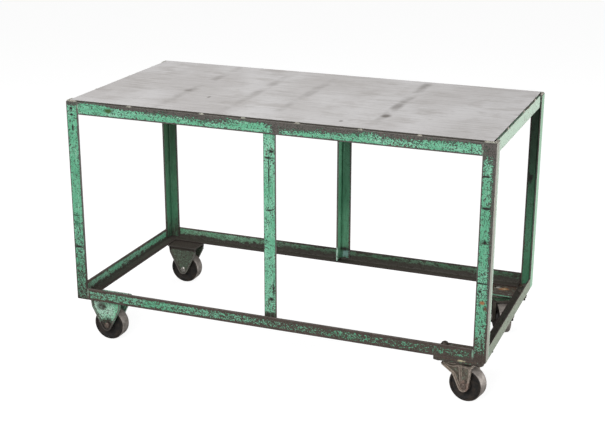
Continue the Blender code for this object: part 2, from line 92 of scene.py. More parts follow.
GREEN = tone(106, 184, 146)
GREEN_LIGHT = tone(130, 202, 168)
GREEN_DARK = tone(60, 126, 94)
GREEN_PALE = tone(184, 224, 202)
# Painted shade: the olive that paint darkens to under the table top
SHADED_OLIVE = tone(46, 56, 32)
BARE_BROWN = tone(100, 95, 90)
BARE_MID = tone(73, 70, 66)
BARE_DARK = tone(42, 46, 40)
# Bare edges lightened to this: partly metal worn bright, partly a painted highlight
EDGE_HIGHLIGHT_GREY = tone(140, 138, 132)
RUST = tone(112, 76, 56)
RUST_SPOT = tone(164, 112, 72)
LOW_BROWN = tone(84, 65, 54)
STAIN = tone(62, 92, 50)
GRIME = tone(60, 47, 38)
SOOT = tone(32, 24, 20)
CREAM = tone(206, 198, 164)
# The right end faces' paint and bare metal, painted pale as if lit from the right: painted light
END_LIT_PAINT = tone(206, 222, 206)
END_LIT_METAL = tone(178, 180, 168)
RAIL_END_LIT_PAINT = tone(156, 152, 138)
RAIL_END_LIT_METAL = tone(120, 113, 103)

# Paint as (main, light, dark) tones
GREEN_PAINT = (GREEN, GREEN_LIGHT, GREEN_DARK)
# A darker copy of the green for the back posts, which lie in the table top's shadow: painted shade
SHADED_PAINT = (tone(72, 130, 98), tone(92, 152, 118), tone(44, 78, 52))
MINT_PAINT = (tone(128, 202, 162), tone(186, 226, 204), tone(78, 142, 110))
GRIMY_PAINT = (tone(86, 98, 82), tone(122, 134, 114), tone(54, 56, 44))
DIRTY_PAINT = (tone(84, 76, 64), tone(122, 114, 100), tone(50, 44, 36))
BROWN_PAINT = (tone(80, 62, 52), tone(98, 80, 66), tone(54, 44, 38))
MOSSY_PAINT = (tone(92, 156, 116), tone(130, 184, 150), tone(50, 80, 56))

# ---------------------------------------------------------------- shader building


class Shader:
    """One material's node tree, with short calls that add its nodes."""

    def __init__(self, name):
        self.material = bpy.data.materials.new(name)
        self.material.use_nodes = True
        self.tree = self.material.node_tree
        self.surface = self.tree.nodes["Principled BSDF"]
        self.place = self.tree.nodes.new("ShaderNodeTexCoord").outputs["Object"]
        self.axes = None

    def feed(self, socket, value):
        """Links another node's output, or sets a plain number, vector or colour."""
        if isinstance(value, bpy.types.NodeSocket):
            self.tree.links.new(value, socket)
        else:
            socket.default_value = value

    def math(self, operation, first, second=0.0):
        node = self.tree.nodes.new("ShaderNodeMath")
        node.operation = operation
        self.feed(node.inputs[0], first)
        self.feed(node.inputs[1], second)
        return node.outputs[0]

    def add(self, *values):
        total = values[0]
        for value in values[1:]:
            total = self.math("ADD", total, value)
        return total

    def times(self, first, second):
        return self.math("MULTIPLY", first, second)

    def vector(self, operation, first, second=None):
        node = self.tree.nodes.new("ShaderNodeVectorMath")
        node.operation = operation
        self.feed(node.inputs[0], first)
        if second is not None:
            self.feed(node.inputs[1], second)
        return node.outputs["Value" if operation == "LENGTH" else "Vector"]

    def step(self, value, low, high):
        """0 below low and 1 above high, with a soft change between them; low may be the larger one."""
        node = self.tree.nodes.new("ShaderNodeMapRange")
        node.interpolation_type = "SMOOTHSTEP"
        self.feed(node.inputs["Value"], value)
        self.feed(node.inputs["From Min"], low)
        self.feed(node.inputs["From Max"], high)
        return node.outputs["Result"]

    def mix(self, amount, first, second):
        node = self.tree.nodes.new("ShaderNodeMix")
        node.data_type = "RGBA"
        self.feed(node.inputs["Factor"], amount)
        self.feed(node.inputs[6], first)
        self.feed(node.inputs[7], second)
        return node.outputs[2]

    def tint(self, colour, other, value, low, high, amount):
        """Mixes in up to amount of another colour as value goes from low to high."""
        return self.mix(self.times(self.step(value, low, high), amount), colour, other)

    def noise(self, scale, detail=3.0, roughness=0.5, stretch=(1, 1, 1), seed=0.0):
        """Noise around 0.5, in cycles per metre; a stretch below 1 draws it out along that axis."""
        mapping = self.tree.nodes.new("ShaderNodeMapping")
        mapping.inputs["Scale"].default_value = stretch
        mapping.inputs["Location"].default_value = (seed * 1.7, seed * 2.3, seed * 3.1)
        self.feed(mapping.inputs["Vector"], self.place)
        node = self.tree.nodes.new("ShaderNodeTexNoise")
        node.inputs["Scale"].default_value = scale
        node.inputs["Detail"].default_value = detail
        node.inputs["Roughness"].default_value = roughness
        self.feed(node.inputs["Vector"], mapping.outputs["Vector"])
        return node.outputs[0]

    def attribute(self, name):
        node = self.tree.nodes.new("ShaderNodeAttribute")
        node.attribute_name = name
        return node.outputs["Fac"]

    def along(self, axis):
        """The coordinate along X, Y or Z."""
        if self.axes is None:
            self.axes = self.tree.nodes.new("ShaderNodeSeparateXYZ")
            self.feed(self.axes.inputs[0], self.place)
        return self.axes.outputs[axis]

    def mark(self, centre, reach, ragged, soft=0.25):
        """1 in the middle of an ellipsoid and 0 outside it, with an edge as ragged and soft as asked."""
        away = self.vector("SUBTRACT", self.place, tuple(centre))
        away = self.vector("MULTIPLY", away, tuple(1 / r for r in reach))
        distance = self.math("ADD", self.vector("LENGTH", away), ragged)
        return self.step(distance, 1 + soft, 1 - soft)

    def under(self, axis, limit, soft=0.0006):
        """1 where the distance from the middle of the table, along X, Y or Z, is below limit."""
        return self.step(self.math("ABSOLUTE", self.along(axis)), limit, limit - soft)

    def bump(self, height, depth, strength=1.0):
        node = self.tree.nodes.new("ShaderNodeBump")
        node.inputs["Distance"].default_value = depth
        node.inputs["Strength"].default_value = strength
        self.feed(node.inputs["Height"], height)
        self.feed(self.surface.inputs["Normal"], node.outputs["Normal"])

    def finish(self, colour, roughness, metallic=0.0):
        self.feed(self.surface.inputs["Base Color"], colour)
        self.feed(self.surface.inputs["Roughness"], roughness)
        self.feed(self.surface.inputs["Metallic"], metallic)
        return self.material


# ---------------------------------------------------------------- materials

GRAIN_X = (0.10, 1, 1)
GRAIN_Y = (1, 0.10, 1)
GRAIN_Z = (1, 1, 0.10)
EVEN = (1, 1, 1)


def grain_of(grain, evenness):
    """A stretch between the given grain and an even one."""
    return tuple(g + (1 - g) * evenness for g in grain)


# The shares of coarse patches and fine speckle in where paint is gone, and the limits between which it
# goes and bare metal darkens
PATCHY_SHARE = 0.36
SPECKLE_SHARE = 0.64
PAINT_GOES = (0.590, 0.640)
METAL_DARKENS = (0.63, 0.74)

# What lies this close to the outside of the frame is its outer face
FACE_DEPTH = 0.0004

# The loss that a rubbed place adds, and the grime that a smear adds
RUB_LOSS = 0.18
SMEAR_GRIME = 0.7


def worn_paint(
    name, seed, grain=EVEN, chips=0.03, edge_wear=0.004, dirt=0.10, loss_rise=None, dirt_rise=None,
    shade=None, ledge=0.0, rubs=(), smears=(), marks=(), palette=GREEN_PAINT,
    lit_end_tones=(END_LIT_PAINT, END_LIT_METAL), end_inset=0.0, worn_edge_highlight=(0.15, 0.0014), edge_highlight_tone=EDGE_HIGHLIGHT_GREY,
):
    """Old green paint: a streaky film, grime, chips down to dark steel, and edges rubbed bare.

    The paint is gone where noise plus a local loss passes a limit. A loss of 0 leaves nearly all of it,
    0.12 about half, and 0.25 nearly none. chips is the loss all over. loss_rise and dirt_rise are
    (axis, from, to, amount) for a loss or grime that grows along an axis, and shade is one for painted
    shade: paint that darkens to olive along Z, towards the top, under the table top. rubs and smears are
    (centre, reach) ellipsoids where the paint is rubbed away or holds a film of dirt, and marks are
    (centre, reach, colour). ledge is the height up to which the inner side of a bottom rail is dirty.
    lit_end_tones are the paint and bare metal of the right end, painted pale as if lit from the right
    (painted light), which is end_inset in from the posts. worn_edge_highlight is how strongly, and how
    far in, bare edges are lightened to edge_highlight_tone: partly metal worn bright, partly a painted
    highlight.
    """
    green, green_light, green_dark = palette
    streak_tone = green_light if shade else GREEN_PALE
    s = Shader(name)
    broad = s.noise(7, 3, 0.55, seed=seed)
    patchy = s.noise(120, 4, 0.62, stretch=grain_of(grain, 0.5), seed=seed + 3)
    speckle = s.noise(380, 2, 0.6, stretch=grain_of(grain, 0.75), seed=seed + 5)
    streaks = s.noise(170, 4, 0.62, stretch=grain, seed=seed + 7)
    wobble = s.math("SUBTRACT", patchy, 0.5)
    ragged = s.add(s.times(wobble, 2.6), s.times(s.math("SUBTRACT", speckle, 0.5), 1.4))

    film = s.mix(s.step(broad, 0.40, 0.60), green, green_light)
    film = s.tint(film, green_dark, patchy, 0.46, 0.34, 0.40)
    film = s.tint(film, streak_tone, streaks, 0.53, 0.68, 0.50)
    film = s.tint(film, green_dark, streaks, 0.46, 0.32, 0.45)
    # Painted shade: the paint darkens to olive towards the top, under the table top
    if shade:
        low, high, amount = shade
        height = s.add(s.along("Z"), s.times(s.math("SUBTRACT", streaks, 0.5), 0.5))
        film = s.tint(film, SHADED_OLIVE, height, low, high, amount)
    # Painted light: the right end faces get pale paint and metal, less grime and less wear, as if lit
    # from the right
    end = HALF_LENGTH - end_inset
    lit_end_face = s.step(s.along("X"), end - FACE_DEPTH, end)
    film = s.mix(s.times(lit_end_face, 0.80), film, lit_end_tones[0])

    edge = s.attribute("edge")
    rubbed_edge = s.times(s.step(edge, edge_wear, 0.0), s.math("SUBTRACT", 0.24, s.times(lit_end_face, 0.20)))
    loss = s.add(chips - 0.09, s.times(broad, 0.18), rubbed_edge, s.times(lit_end_face, -0.04))
    if loss_rise:
        axis, start, end, amount = loss_rise
        loss = s.add(loss, s.times(s.step(s.along(axis), start, end), amount))
    for centre, reach in rubs:
        rubbed = s.mark(centre, reach, s.times(wobble, 2.4), 0.8)
        loss = s.add(loss, s.times(rubbed, RUB_LOSS))
    worn = s.add(s.times(patchy, PATCHY_SHARE), s.times(speckle, SPECKLE_SHARE), loss)
    bare = s.step(worn, *PAINT_GOES)
    deep = s.step(worn, *METAL_DARKENS)

    grime = s.add(dirt, s.times(wobble, 1.0), s.times(s.math("SUBTRACT", streaks, 0.5), 0.9))
    grime = s.add(grime, s.times(loss, 0.5))
    if dirt_rise:
        axis, start, end, amount = dirt_rise
        grime = s.add(grime, s.times(s.step(s.along(axis), start, end), amount))
    if ledge:
        height = s.add(s.along("Z"), s.times(wobble, 0.06))
        low = s.step(height, FRAME_BOTTOM + ledge, FRAME_BOTTOM + ledge - 0.016)
        inside = s.times(s.under("X", HALF_LENGTH - FACE_DEPTH), s.under("Y", HALF_WIDTH - FACE_DEPTH))
        grime = s.add(grime, s.times(s.times(low, inside), 0.9))
    for centre, reach in smears:
        grime = s.add(grime, s.times(s.mark(centre, reach, ragged), SMEAR_GRIME))
    grime = s.times(s.step(grime, 0.20, 0.95), s.math("SUBTRACT", 1.0, s.times(lit_end_face, 0.7)))

    metal = s.mix(deep, BARE_DARK, s.mix(s.step(speckle, 0.35, 0.60), BARE_MID, BARE_BROWN))
    metal = s.tint(metal, LOW_BROWN, s.along("Z"), 0.34, 0.20, 0.50)
    # Bare edges lightened towards edge_highlight_tone: partly metal worn bright, partly a painted
    # highlight
    shine, reach = worn_edge_highlight
    metal = s.tint(metal, edge_highlight_tone, edge, reach, 0.2 * reach, shine)
    metal = s.tint(metal, RUST, broad, 0.58, 0.70, 0.25)
    metal = s.mix(s.times(lit_end_face, 0.75), metal, lit_end_tones[1])
    colour = s.mix(s.times(grime, 0.97), film, s.mix(speckle, GRIME, SOOT))
    colour = s.mix(bare, colour, s.mix(s.times(grime, 0.7), metal, SOOT))
    for centre, reach, paint in marks:
        colour = s.mix(s.mark(centre, reach, s.times(ragged, 1.2), 0.5), colour, paint)
    roughness = s.add(0.36, s.times(grime, 0.30), s.times(bare, 0.14))
    s.bump(s.add(s.times(bare, -1.0), s.times(streaks, 0.35), s.times(speckle, 0.25)), 0.0003, 0.8)
    return s.finish(colour, roughness, s.times(bare, 0.2))


PLATE_STREAKS = (-0.36, -0.16, -0.008, 0.29)

# Dark spots on the plate: (x, y, half length, half width, strength)
PLATE_SPOTS = (
    (0.294, -0.158, 0.014, 0.019, 0.75), (-0.270, -0.130, 0.004, 0.009, 0.6),
    (0.196, -0.260, 0.005, 0.008, 0.6), (-0.370, -0.069, 0.012, 0.014, 0.35),
)


def bare_plate():
    """The top: plate worn to a light grey, with fine streaks along it, a few dark lines across it, and
    its side faces painted dark: partly dark sheared steel, partly painted shade."""
    s = Shader("bare_plate")
    broad = s.noise(4.0, 3, 0.55, stretch=(1, 0.5, 1), seed=2)
    cloud = s.noise(16, 5, 0.6, stretch=(0.6, 1, 1), seed=4)
    streaks = s.noise(110, 4, 0.6, stretch=(0.06, 1, 1), seed=6)
    fine = s.noise(240, 3, 0.6, stretch=(0.25, 1, 1), seed=8)
    ragged = s.times(s.math("SUBTRACT", cloud, 0.5), 2.0)
    colour = s.mix(s.step(broad, 0.38, 0.62), tone(193, 191, 191), tone(180, 177, 176))
    colour = s.tint(colour, tone(160, 156, 153), cloud, 0.50, 0.68, 0.50)
    colour = s.tint(colour, tone(142, 138, 134), streaks, 0.50, 0.68, 0.38)
    colour = s.tint(colour, tone(206, 205, 203), streaks, 0.46, 0.32, 0.30)
    colour = s.tint(colour, tone(132, 127, 120), fine, 0.56, 0.70, 0.25)
    for x in PLATE_STREAKS:
        line = s.mark((x, 0.03, PLATE_HIGH.z), (0.013, 0.30, 0.02), s.times(ragged, 0.8), 0.7)
        line = s.times(line, s.step(s.noise(13, 4, 0.6, seed=x * 9), 0.36, 0.66))
        colour = s.mix(s.times(line, 0.62 if x > 0.2 else 0.36), colour, tone(108, 103, 98))
    for x, y, wide, deep, strength in PLATE_SPOTS:
        stain = s.mark((x, y, PLATE_HIGH.z), (wide, deep, 0.02), s.times(ragged, 0.8), 0.5)
        colour = s.mix(s.times(stain, strength), colour, tone(84, 78, 70))
    # The plate's side faces painted dark: partly dark sheared steel, partly painted shade
    side = s.step(s.along("Z"), PLATE_HIGH.z - 0.0004, PLATE_HIGH.z - 0.0010)
    colour = s.mix(side, colour, tone(72, 68, 62))
    roughness = s.add(0.56, s.times(streaks, 0.14), s.times(cloud, 0.10))
    s.bump(s.add(s.times(streaks, 0.4), s.times(cloud, 0.8), s.times(fine, 0.2)), 0.00035, 0.5)
    s.surface.inputs["Specular IOR Level"].default_value = 0.25
    return s.finish(colour, roughness, s.math("SUBTRACT", 0.14, s.times(side, 0.08)))


def weld_metal(name, paint_left, seed, lightness=1.0):
    """Weld beads: dull grey-brown metal with paint left in the ripples."""
    s = Shader(name)
    patchy = s.noise(90, 4, 0.6, seed=seed)
    speckle = s.noise(400, 3, 0.6, seed=seed + 2)
    dark = tone(70 * lightness, 66 * lightness, 60 * lightness)
    light = tone(128 * lightness, 124 * lightness, 116 * lightness)
    colour = s.mix(s.step(speckle, 0.35, 0.65), dark, light)
    colour = s.tint(colour, tone(140, 186, 160), patchy, 0.62, 0.38, paint_left)
    s.bump(s.add(patchy, s.times(speckle, 0.5)), 0.0004, 0.8)
    return s.finish(colour, s.add(0.42, s.times(speckle, 0.2)), 0.2)


def cast_iron():
    """Wheels: black dirty sides, and a tread that running has worn to bare grey."""
    s = Shader("cast_iron_wheel")
    patchy = s.noise(60, 5, 0.6, seed=1)
    speckle = s.noise(380, 3, 0.6, seed=3)
    tread = s.attribute("tread")
    side = s.mix(s.step(patchy, 0.40, 0.66), tone(22, 21, 20), tone(50, 41, 34))
    side = s.tint(side, tone(76, 64, 54), speckle, 0.55, 0.68, 0.30)
    worn = s.mix(s.step(patchy, 0.38, 0.60), tone(122, 115, 109), tone(148, 141, 135))
    worn = s.tint(worn, tone(92, 84, 76), speckle, 0.54, 0.66, 0.6)
    wobble = s.times(s.math("SUBTRACT", patchy, 0.5), 0.5)
    colour = s.mix(s.step(s.add(tread, wobble), 0.40, 0.62), side, worn)
    s.bump(s.add(patchy, s.times(speckle, 0.7)), 0.0005, 0.7)
    return s.finish(colour, s.math("SUBTRACT", 0.68, s.times(tread, 0.18)), s.times(tread, 0.35))


def plain_steel(name, dark, light, roughness, metallic, seed):
    """Bolts, nuts, pins and axles: oily or rusty steel with speckled grime."""
    s = Shader(name)
    patchy = s.noise(120, 4, 0.6, seed=seed)
    speckle = s.noise(600, 3, 0.6, seed=seed + 2)
    colour = s.mix(s.step(patchy, 0.38, 0.62), dark, light)
    colour = s.tint(colour, RUST, speckle, 0.56, 0.68, 0.45)
    s.bump(s.add(patchy, s.times(speckle, 0.5)), 0.00025, 0.6)
    return s.finish(colour, s.add(roughness, s.times(speckle, 0.18)), metallic)


# ---------------------------------------------------------------- mesh building

# Distances from an end or edge where extra points carry the wear, and the step along a bar's middle
EDGE_STEPS = (0.0010, 0.0022, 0.0038, 0.0060, 0.0090, 0.0130)
RUN_STEP = 0.020

# Points of a section closer than this are one point
SAME_PLACE = 1e-5

# Refined pieces: the spacing of the samples that edge wear is measured from, the longest edge left, the
# rounds of splitting, and the angle in degrees that is beveled
SAMPLE_STEP = 0.0015
LONGEST_EDGE = 0.006
SPLITTING_ROUNDS = 5
SHARP_ANGLE = 38

# Angles shaded as sharp on refined and on joined pieces
REFINED_SHARP = 42
JOINED_SHARP = 50

# Weld beads: the step along them, their sides, ripple and its random part, how thin the ends are and
# over how many widths they taper, and the depth of the hidden side
BEAD_STEP = 0.0011
BEAD_SIDES = 8
BEAD_RIPPLE = 0.16
BEAD_UNEVENNESS = 0.05
BEAD_TIP = 0.12
BEAD_TAPER = 1.2
BEAD_ROOT = 0.4


def make_object(name, mesh, material, smooth_angle=35):
    mesh.materials.append(material)
    mesh.shade_smooth()
    mesh.set_sharp_from_angle(angle=math.radians(smooth_angle))
    made = bpy.data.objects.new(name, mesh)
    bpy.context.scene.collection.objects.link(made)
    return made


def set_attribute(mesh, name, values):
    layer = mesh.attributes.new(name, "FLOAT", "POINT")
    layer.data.foreach_set("value", np.asarray(values, np.float32))


def stations(low, high, step=None):
    """Places from low to high: close together near both ends, and step apart between them."""
    inner = [low + s for s in EDGE_STEPS] + [high - s for s in EDGE_STEPS]
    start, end = low + EDGE_STEPS[-1], high - EDGE_STEPS[-1]
    count = max(1, round((end - start) / step)) if step else 1
    inner += [start + (end - start) * i / count for i in range(1, count)]
    return sorted(set(inner))


def quarter(centre, radius, start, steps=3):
    """Points of a 90 degree arc, counted from start degrees; a negative radius is a hollow one."""
    turns = [math.radians(start + 90 * i / steps) for i in range(steps + 1)]
    return [(centre[0] + radius * math.cos(t), centre[1] + radius * math.sin(t)) for t in turns]


def angle_section():
    """The angle's section as (first, second, edge): two coordinates from the heel, and the distance
    over the surface to the nearest outer edge."""
    toe_start = LEG - TOE_RADIUS
    inner_start = THICKNESS + ROOT_RADIUS
    root_clearance = 0.002
    across = stations(HEEL_RADIUS, toe_start)
    inner = [p for p in across if p > inner_start + root_clearance]
    points = [(p, 0, min(p, toe_start - p)) for p in across]
    points += [(p, q, 0) for p, q in quarter((toe_start, TOE_RADIUS), TOE_RADIUS, -90)]
    points += [(p, q, 0) for p, q in quarter((toe_start, THICKNESS - TOE_RADIUS), TOE_RADIUS, 0)]
    points += [(p, THICKNESS, toe_start - p) for p in reversed(inner)]
    root = quarter((inner_start, inner_start), -ROOT_RADIUS, 90)
    points += [(p, q, toe_start - max(p, q)) for p, q in reversed(root)]
    points += [(THICKNESS, q, toe_start - q) for q in inner]
    points += [(p, q, 0) for p, q in quarter((THICKNESS - TOE_RADIUS, toe_start), TOE_RADIUS, 0)]
    points += [(p, q, 0) for p, q in quarter((TOE_RADIUS, toe_start), TOE_RADIUS, 90)]
    points += [(0, q, min(q, toe_start - q)) for q in reversed(across)]
    points += [(p, q, 0) for p, q in quarter((HEEL_RADIUS, HEEL_RADIUS), HEEL_RADIUS, 180)]
    kept = [points[0]]
    for point in points[1:]:
        if math.dist(point[:2], kept[-1][:2]) > SAME_PLACE:
            kept.append(point)
    if math.dist(kept[0][:2], kept[-1][:2]) < SAME_PLACE:
        kept.pop()
    return kept


def drawn_in(section, amount):
    """The same section, every point moved inwards."""
    moved = []
    count = len(section)
    for index, (p, q, edge) in enumerate(section):
        before = section[index - 1]
        after = section[(index + 1) % count]
        run = Vector((after[0] - before[0], after[1] - before[1])).normalized()
        moved.append((p - run.y * amount, q + run.x * amount, edge))
    return moved


def ring_faces(rings, sides, closed=False):
    """Faces between rings of points, which close on the first ring or else end in two caps."""
    faces = []
    for ring in range(rings if closed else rings - 1):
        above = (ring + 1) % rings
        for side in range(sides):
            after = (side + 1) % sides
            faces.append((
                ring * sides + side, ring * sides + after, above * sides + after, above * sides + side,
            ))
    if not closed:
        faces.append(tuple(reversed(range(sides))))
        faces.append(tuple(range((rings - 1) * sides, rings * sides)))
    return faces


def closed_mesh(name, vertices, faces):
    """A mesh whose faces all point outwards."""
    mesh = bpy.data.meshes.new(name)
    mesh.from_pydata(vertices, [], faces)
    work = bmesh.new()
    work.from_mesh(mesh)
    bmesh.ops.recalc_face_normals(work, faces=work.faces)
    work.to_mesh(mesh)
    work.free()
    return mesh


def angle_bar(name, node, heel, material):
    """A length of angle iron in a CAD bar's place. heel has -1, 0 or 1 for each axis: 0 is the axis
    that the bar runs along, and the signs say on which side of its box the heel is."""
    low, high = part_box(node)
    run = heel.index(0)
    first, second = [axis for axis in range(3) if axis != run]
    section = angle_section()
    chamfered = drawn_in(section, END_CHAMFER)
    places = [low[run] + END_CHAMFER, *stations(low[run], high[run], RUN_STEP), high[run] - END_CHAMFER]
    places = sorted(set(places))
    rings = [(low[run], chamfered)] + [(p, section) for p in places] + [(high[run], chamfered)]

    def point(place, p, q):
        spot = [0, 0, 0]
        spot[run] = place
        spot[first] = (high if heel[first] > 0 else low)[first] - heel[first] * p
        spot[second] = (high if heel[second] > 0 else low)[second] - heel[second] * q
        return spot

    vertices = [point(place, p, q) for place, ring in rings for p, q, _ in ring]
    edges = [
        min(edge, place - low[run], high[run] - place) for place, ring in rings for _, _, edge in ring
    ]
    mesh = closed_mesh(name, vertices, ring_faces(len(rings), len(section)))
    set_attribute(mesh, "edge", edges)
    piece = make_object(name, mesh, material)
    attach(piece, "frame")
    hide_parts(node)


def refined(node, material, body, rounding=0.0006):
    """A CAD node's own shape with rounded edges, and points close enough to carry the wear."""
    work = bmesh.new()
    work.from_mesh(NODES[node].data)
    bmesh.ops.remove_doubles(work, verts=work.verts, dist=1e-6)
    bmesh.ops.dissolve_limit(work, angle_limit=math.radians(1), verts=work.verts, edges=work.edges)
    limit = math.radians(SHARP_ANGLE)
    corners = [e for e in work.edges if len(e.link_faces) == 2 and e.calc_face_angle() > limit]
    samples = []
    for edge in corners:
        start, end = edge.verts[0].co, edge.verts[1].co
        count = max(1, math.ceil((end - start).length / SAMPLE_STEP))
        samples += [start.lerp(end, i / count) for i in range(count + 1)]
    tree = KDTree(len(samples))
    for index, sample in enumerate(samples):
        tree.insert(sample, index)
    tree.balance()
    bmesh.ops.bevel(
        work, geom=corners, offset=rounding, offset_type="OFFSET", segments=2, profile=0.5,
        affect="EDGES", clamp_overlap=True,
    )
    bmesh.ops.triangulate(work, faces=work.faces)
    for _ in range(SPLITTING_ROUNDS):
        long_edges = [e for e in work.edges if e.calc_length() > LONGEST_EDGE]
        if not long_edges:
            break
        bmesh.ops.subdivide_edges(work, edges=long_edges, cuts=1)
        bmesh.ops.triangulate(work, faces=work.faces)
    bmesh.ops.recalc_face_normals(work, faces=work.faces)
    name = f"{node}_surface"
    mesh = bpy.data.meshes.new(name)
    work.to_mesh(mesh)
    work.free()
    distances = [max(0.0, tree.find(v.co)[2] - rounding) for v in mesh.vertices]
    set_attribute(mesh, "edge", distances)
    piece = make_object(name, mesh, material, REFINED_SHARP)
    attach(piece, body)
    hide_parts(node)


def lathe(profile, sides, place):
    """Vertices and faces of a closed profile of (radius, height) points turned about local Z."""
    vertices = []
    for radius, height in profile:
        for turn in (math.tau * side / sides for side in range(sides)):
            vertices.append(place @ Vector((radius * math.cos(turn), radius * math.sin(turn), height)))
    return vertices, ring_faces(len(profile), sides, closed=True)


def bead(path, width, height, out, seed, pitch=0.0032):
    """Vertices and faces of a rippled weld bead along a path of points, raised towards out."""
    chance = random.Random(seed)
    spots = [Vector(p) for p in path]
    lengths = [(b - a).length for a, b in zip(spots, spots[1:])]
    total = sum(lengths)
    steps = max(4, round(total / BEAD_STEP))
    out = Vector(out).normalized()
    vertices = []
    for ring in range(steps + 1):
        gone = total * ring / steps
        leg = 0
        rest = gone
        while leg < len(lengths) - 1 and rest > lengths[leg]:
            rest -= lengths[leg]
            leg += 1
        run = (spots[leg + 1] - spots[leg]).normalized()
        centre = spots[leg] + run * rest
        side_way = run.cross(out).normalized()
        taper = min(gone, total - gone) / (BEAD_TAPER * width)
        nose = math.sin(math.pi * min(1.0, max(BEAD_TIP, taper)) / 2)
        ripple = 1 + BEAD_RIPPLE * abs(math.sin(math.pi * gone / pitch))
        ripple += chance.uniform(-BEAD_UNEVENNESS, BEAD_UNEVENNESS)
        for index in range(BEAD_SIDES):
            turn = math.tau * index / BEAD_SIDES
            rise = math.sin(turn)
            reach = 1 if rise > 0 else BEAD_ROOT
            vertices.append(
                centre + side_way * (0.5 * width * nose * ripple * math.cos(turn))
                + out * (height * nose * ripple * rise * reach)
            )
    return vertices, ring_faces(steps + 1, BEAD_SIDES)


def prism(centre, radius, sides, low, high, cut, turn=0.0):
    """Vertices and faces of an upright prism between two heights, with chamfered ends."""
    rings = ((radius - cut, low), (radius, low + cut), (radius, high - cut), (radius - cut, high))
    vertices = []
    for reach, height in rings:
        for side in range(sides):
            angle = turn + math.tau * side / sides
            x = centre[0] + reach * math.cos(angle)
            y = centre[1] + reach * math.sin(angle)
            vertices.append((x, y, height))
    return vertices, ring_faces(len(rings), sides)


def joined_piece(name, shapes, material, body):
    """One piece made of several closed shapes, each given as (vertices, faces)."""
    vertices = []
    faces = []
    for shape_vertices, shape_faces in shapes:
        start = len(vertices)
        vertices += shape_vertices
        faces += [tuple(start + index for index in face) for face in shape_faces]
    piece = make_object(name, closed_mesh(name, vertices, faces), material, JOINED_SHARP)
    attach(piece, body)


# ---------------------------------------------------------------- frame


def top_front_rubs():
    """Where the upper edge of the front rail is rubbed bare: (x, half length, depth below the edge)."""
    worn = (
        (-0.46, 0.070, 0.007), (-0.33, 0.110, 0.013), (-0.19, 0.080, 0.018), (-0.05, 0.050, 0.007),
        (0.06, 0.060, 0.019), (0.15, 0.070, 0.016), (0.235, 0.050, 0.014), (0.38, 0.070, 0.014),
        (0.50, 0.060, 0.009), (0.59, 0.030, 0.006),
    )
    face = -HALF_WIDTH
    rubs = [((x, face, FRAME_TOP), (half, 0.02, depth)) for x, half, depth in worn]
    middle_weld = ((0.022, face, FRAME_TOP - LEG + 0.004), (0.012, 0.02, 0.024))
    return rubs + [middle_weld]


def front_marks(*marks):
    """Marks on the table's front: each (x, z, half width, half height, colour)."""
    return [((x, -HALF_WIDTH, z), (wide, 0.02, high), colour) for x, z, wide, high, colour in marks]


def front_posts():
    """The three front posts' looks."""
    face = -HALF_WIDTH
    left = dict(
        grain=GRAIN_Z, chips=0.084, edge_wear=0.004,
        loss_rise=("Z", 0.50, 0.15, 0.045), dirt_rise=("Z", 0.40, 0.15, 0.42),
        rubs=[((-0.63, face, 0.768), (0.03, 0.02, 0.009))],
        marks=front_marks(
            (-0.631, 0.688, 0.0026, 0.010, SOOT), (-0.635, 0.748, 0.004, 0.004, SOOT),
            (-0.633, 0.729, 0.004, 0.003, SOOT), (-0.640, 0.413, 0.013, 0.0018, SOOT),
            (-0.636, 0.388, 0.0055, 0.007, GREEN_DARK), (-0.637, 0.312, 0.014, 0.0030, SOOT)),
    )
    middle = dict(
        grain=GRAIN_Z, chips=0.053, edge_wear=0.002,
        loss_rise=("Z", 0.26, 0.17, 0.055),
        marks=front_marks(
            (0.000, 0.607, 0.0019, 0.050, SOOT), (0.008, 0.680, 0.008, 0.0045, SOOT),
            (0.000, 0.660, 0.012, 0.0028, SOOT), (0.003, 0.505, 0.009, 0.0024, SOOT),
            (0.013, 0.262, 0.0035, 0.020, SOOT), (0.006, 0.232, 0.007, 0.0055, SOOT)),
        smears=[((0.0, face, 0.180), (0.024, 0.02, 0.010))],
    )
    right = dict(
        grain=GRAIN_Z, chips=0.084, edge_wear=0.003, loss_rise=("Z", 0.27, 0.15, 0.065),
        dirt_rise=("Z", 0.30, 0.15, 0.25),
        rubs=[((0.63, face, 0.762), (0.03, 0.02, 0.034)), ((0.63, face, 0.144), (0.03, 0.02, 0.015)),
            ((0.650, face, 0.58), (0.0085, 0.02, 0.26)), ((0.650, face, 0.30), (0.0040, 0.02, 0.30))],
        marks=front_marks(
            (0.631, 0.317, 0.007, 0.0045, RUST_SPOT), (0.640, 0.300, 0.004, 0.006, RUST),
            (0.6235, 0.349, 0.0042, 0.0042, SOOT), (0.626, 0.373, 0.014, 0.0022, SOOT),
            (0.624, 0.675, 0.012, 0.0026, SOOT), (0.630, 0.587, 0.012, 0.0034, SOOT),
            (0.631, 0.492, 0.0065, 0.0055, SOOT)),
    )
    return left, middle, right


def back_middle_marks():
    """Pale rubbed patches at the foot of the back middle post."""
    low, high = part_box("post_back_middle")
    return [
        ((low.x, low.y, low.z + 0.020), (0.006, 0.006, 0.022), GREEN_PALE),
        ((low.x + 0.60 * LEG, high.y, low.z + 0.018), (0.011, 0.02, 0.012), tone(112, 150, 142)),
        ((low.x + 0.50 * LEG, high.y, low.z + 0.034), (0.016, 0.02, 0.006), SOOT),
    ]


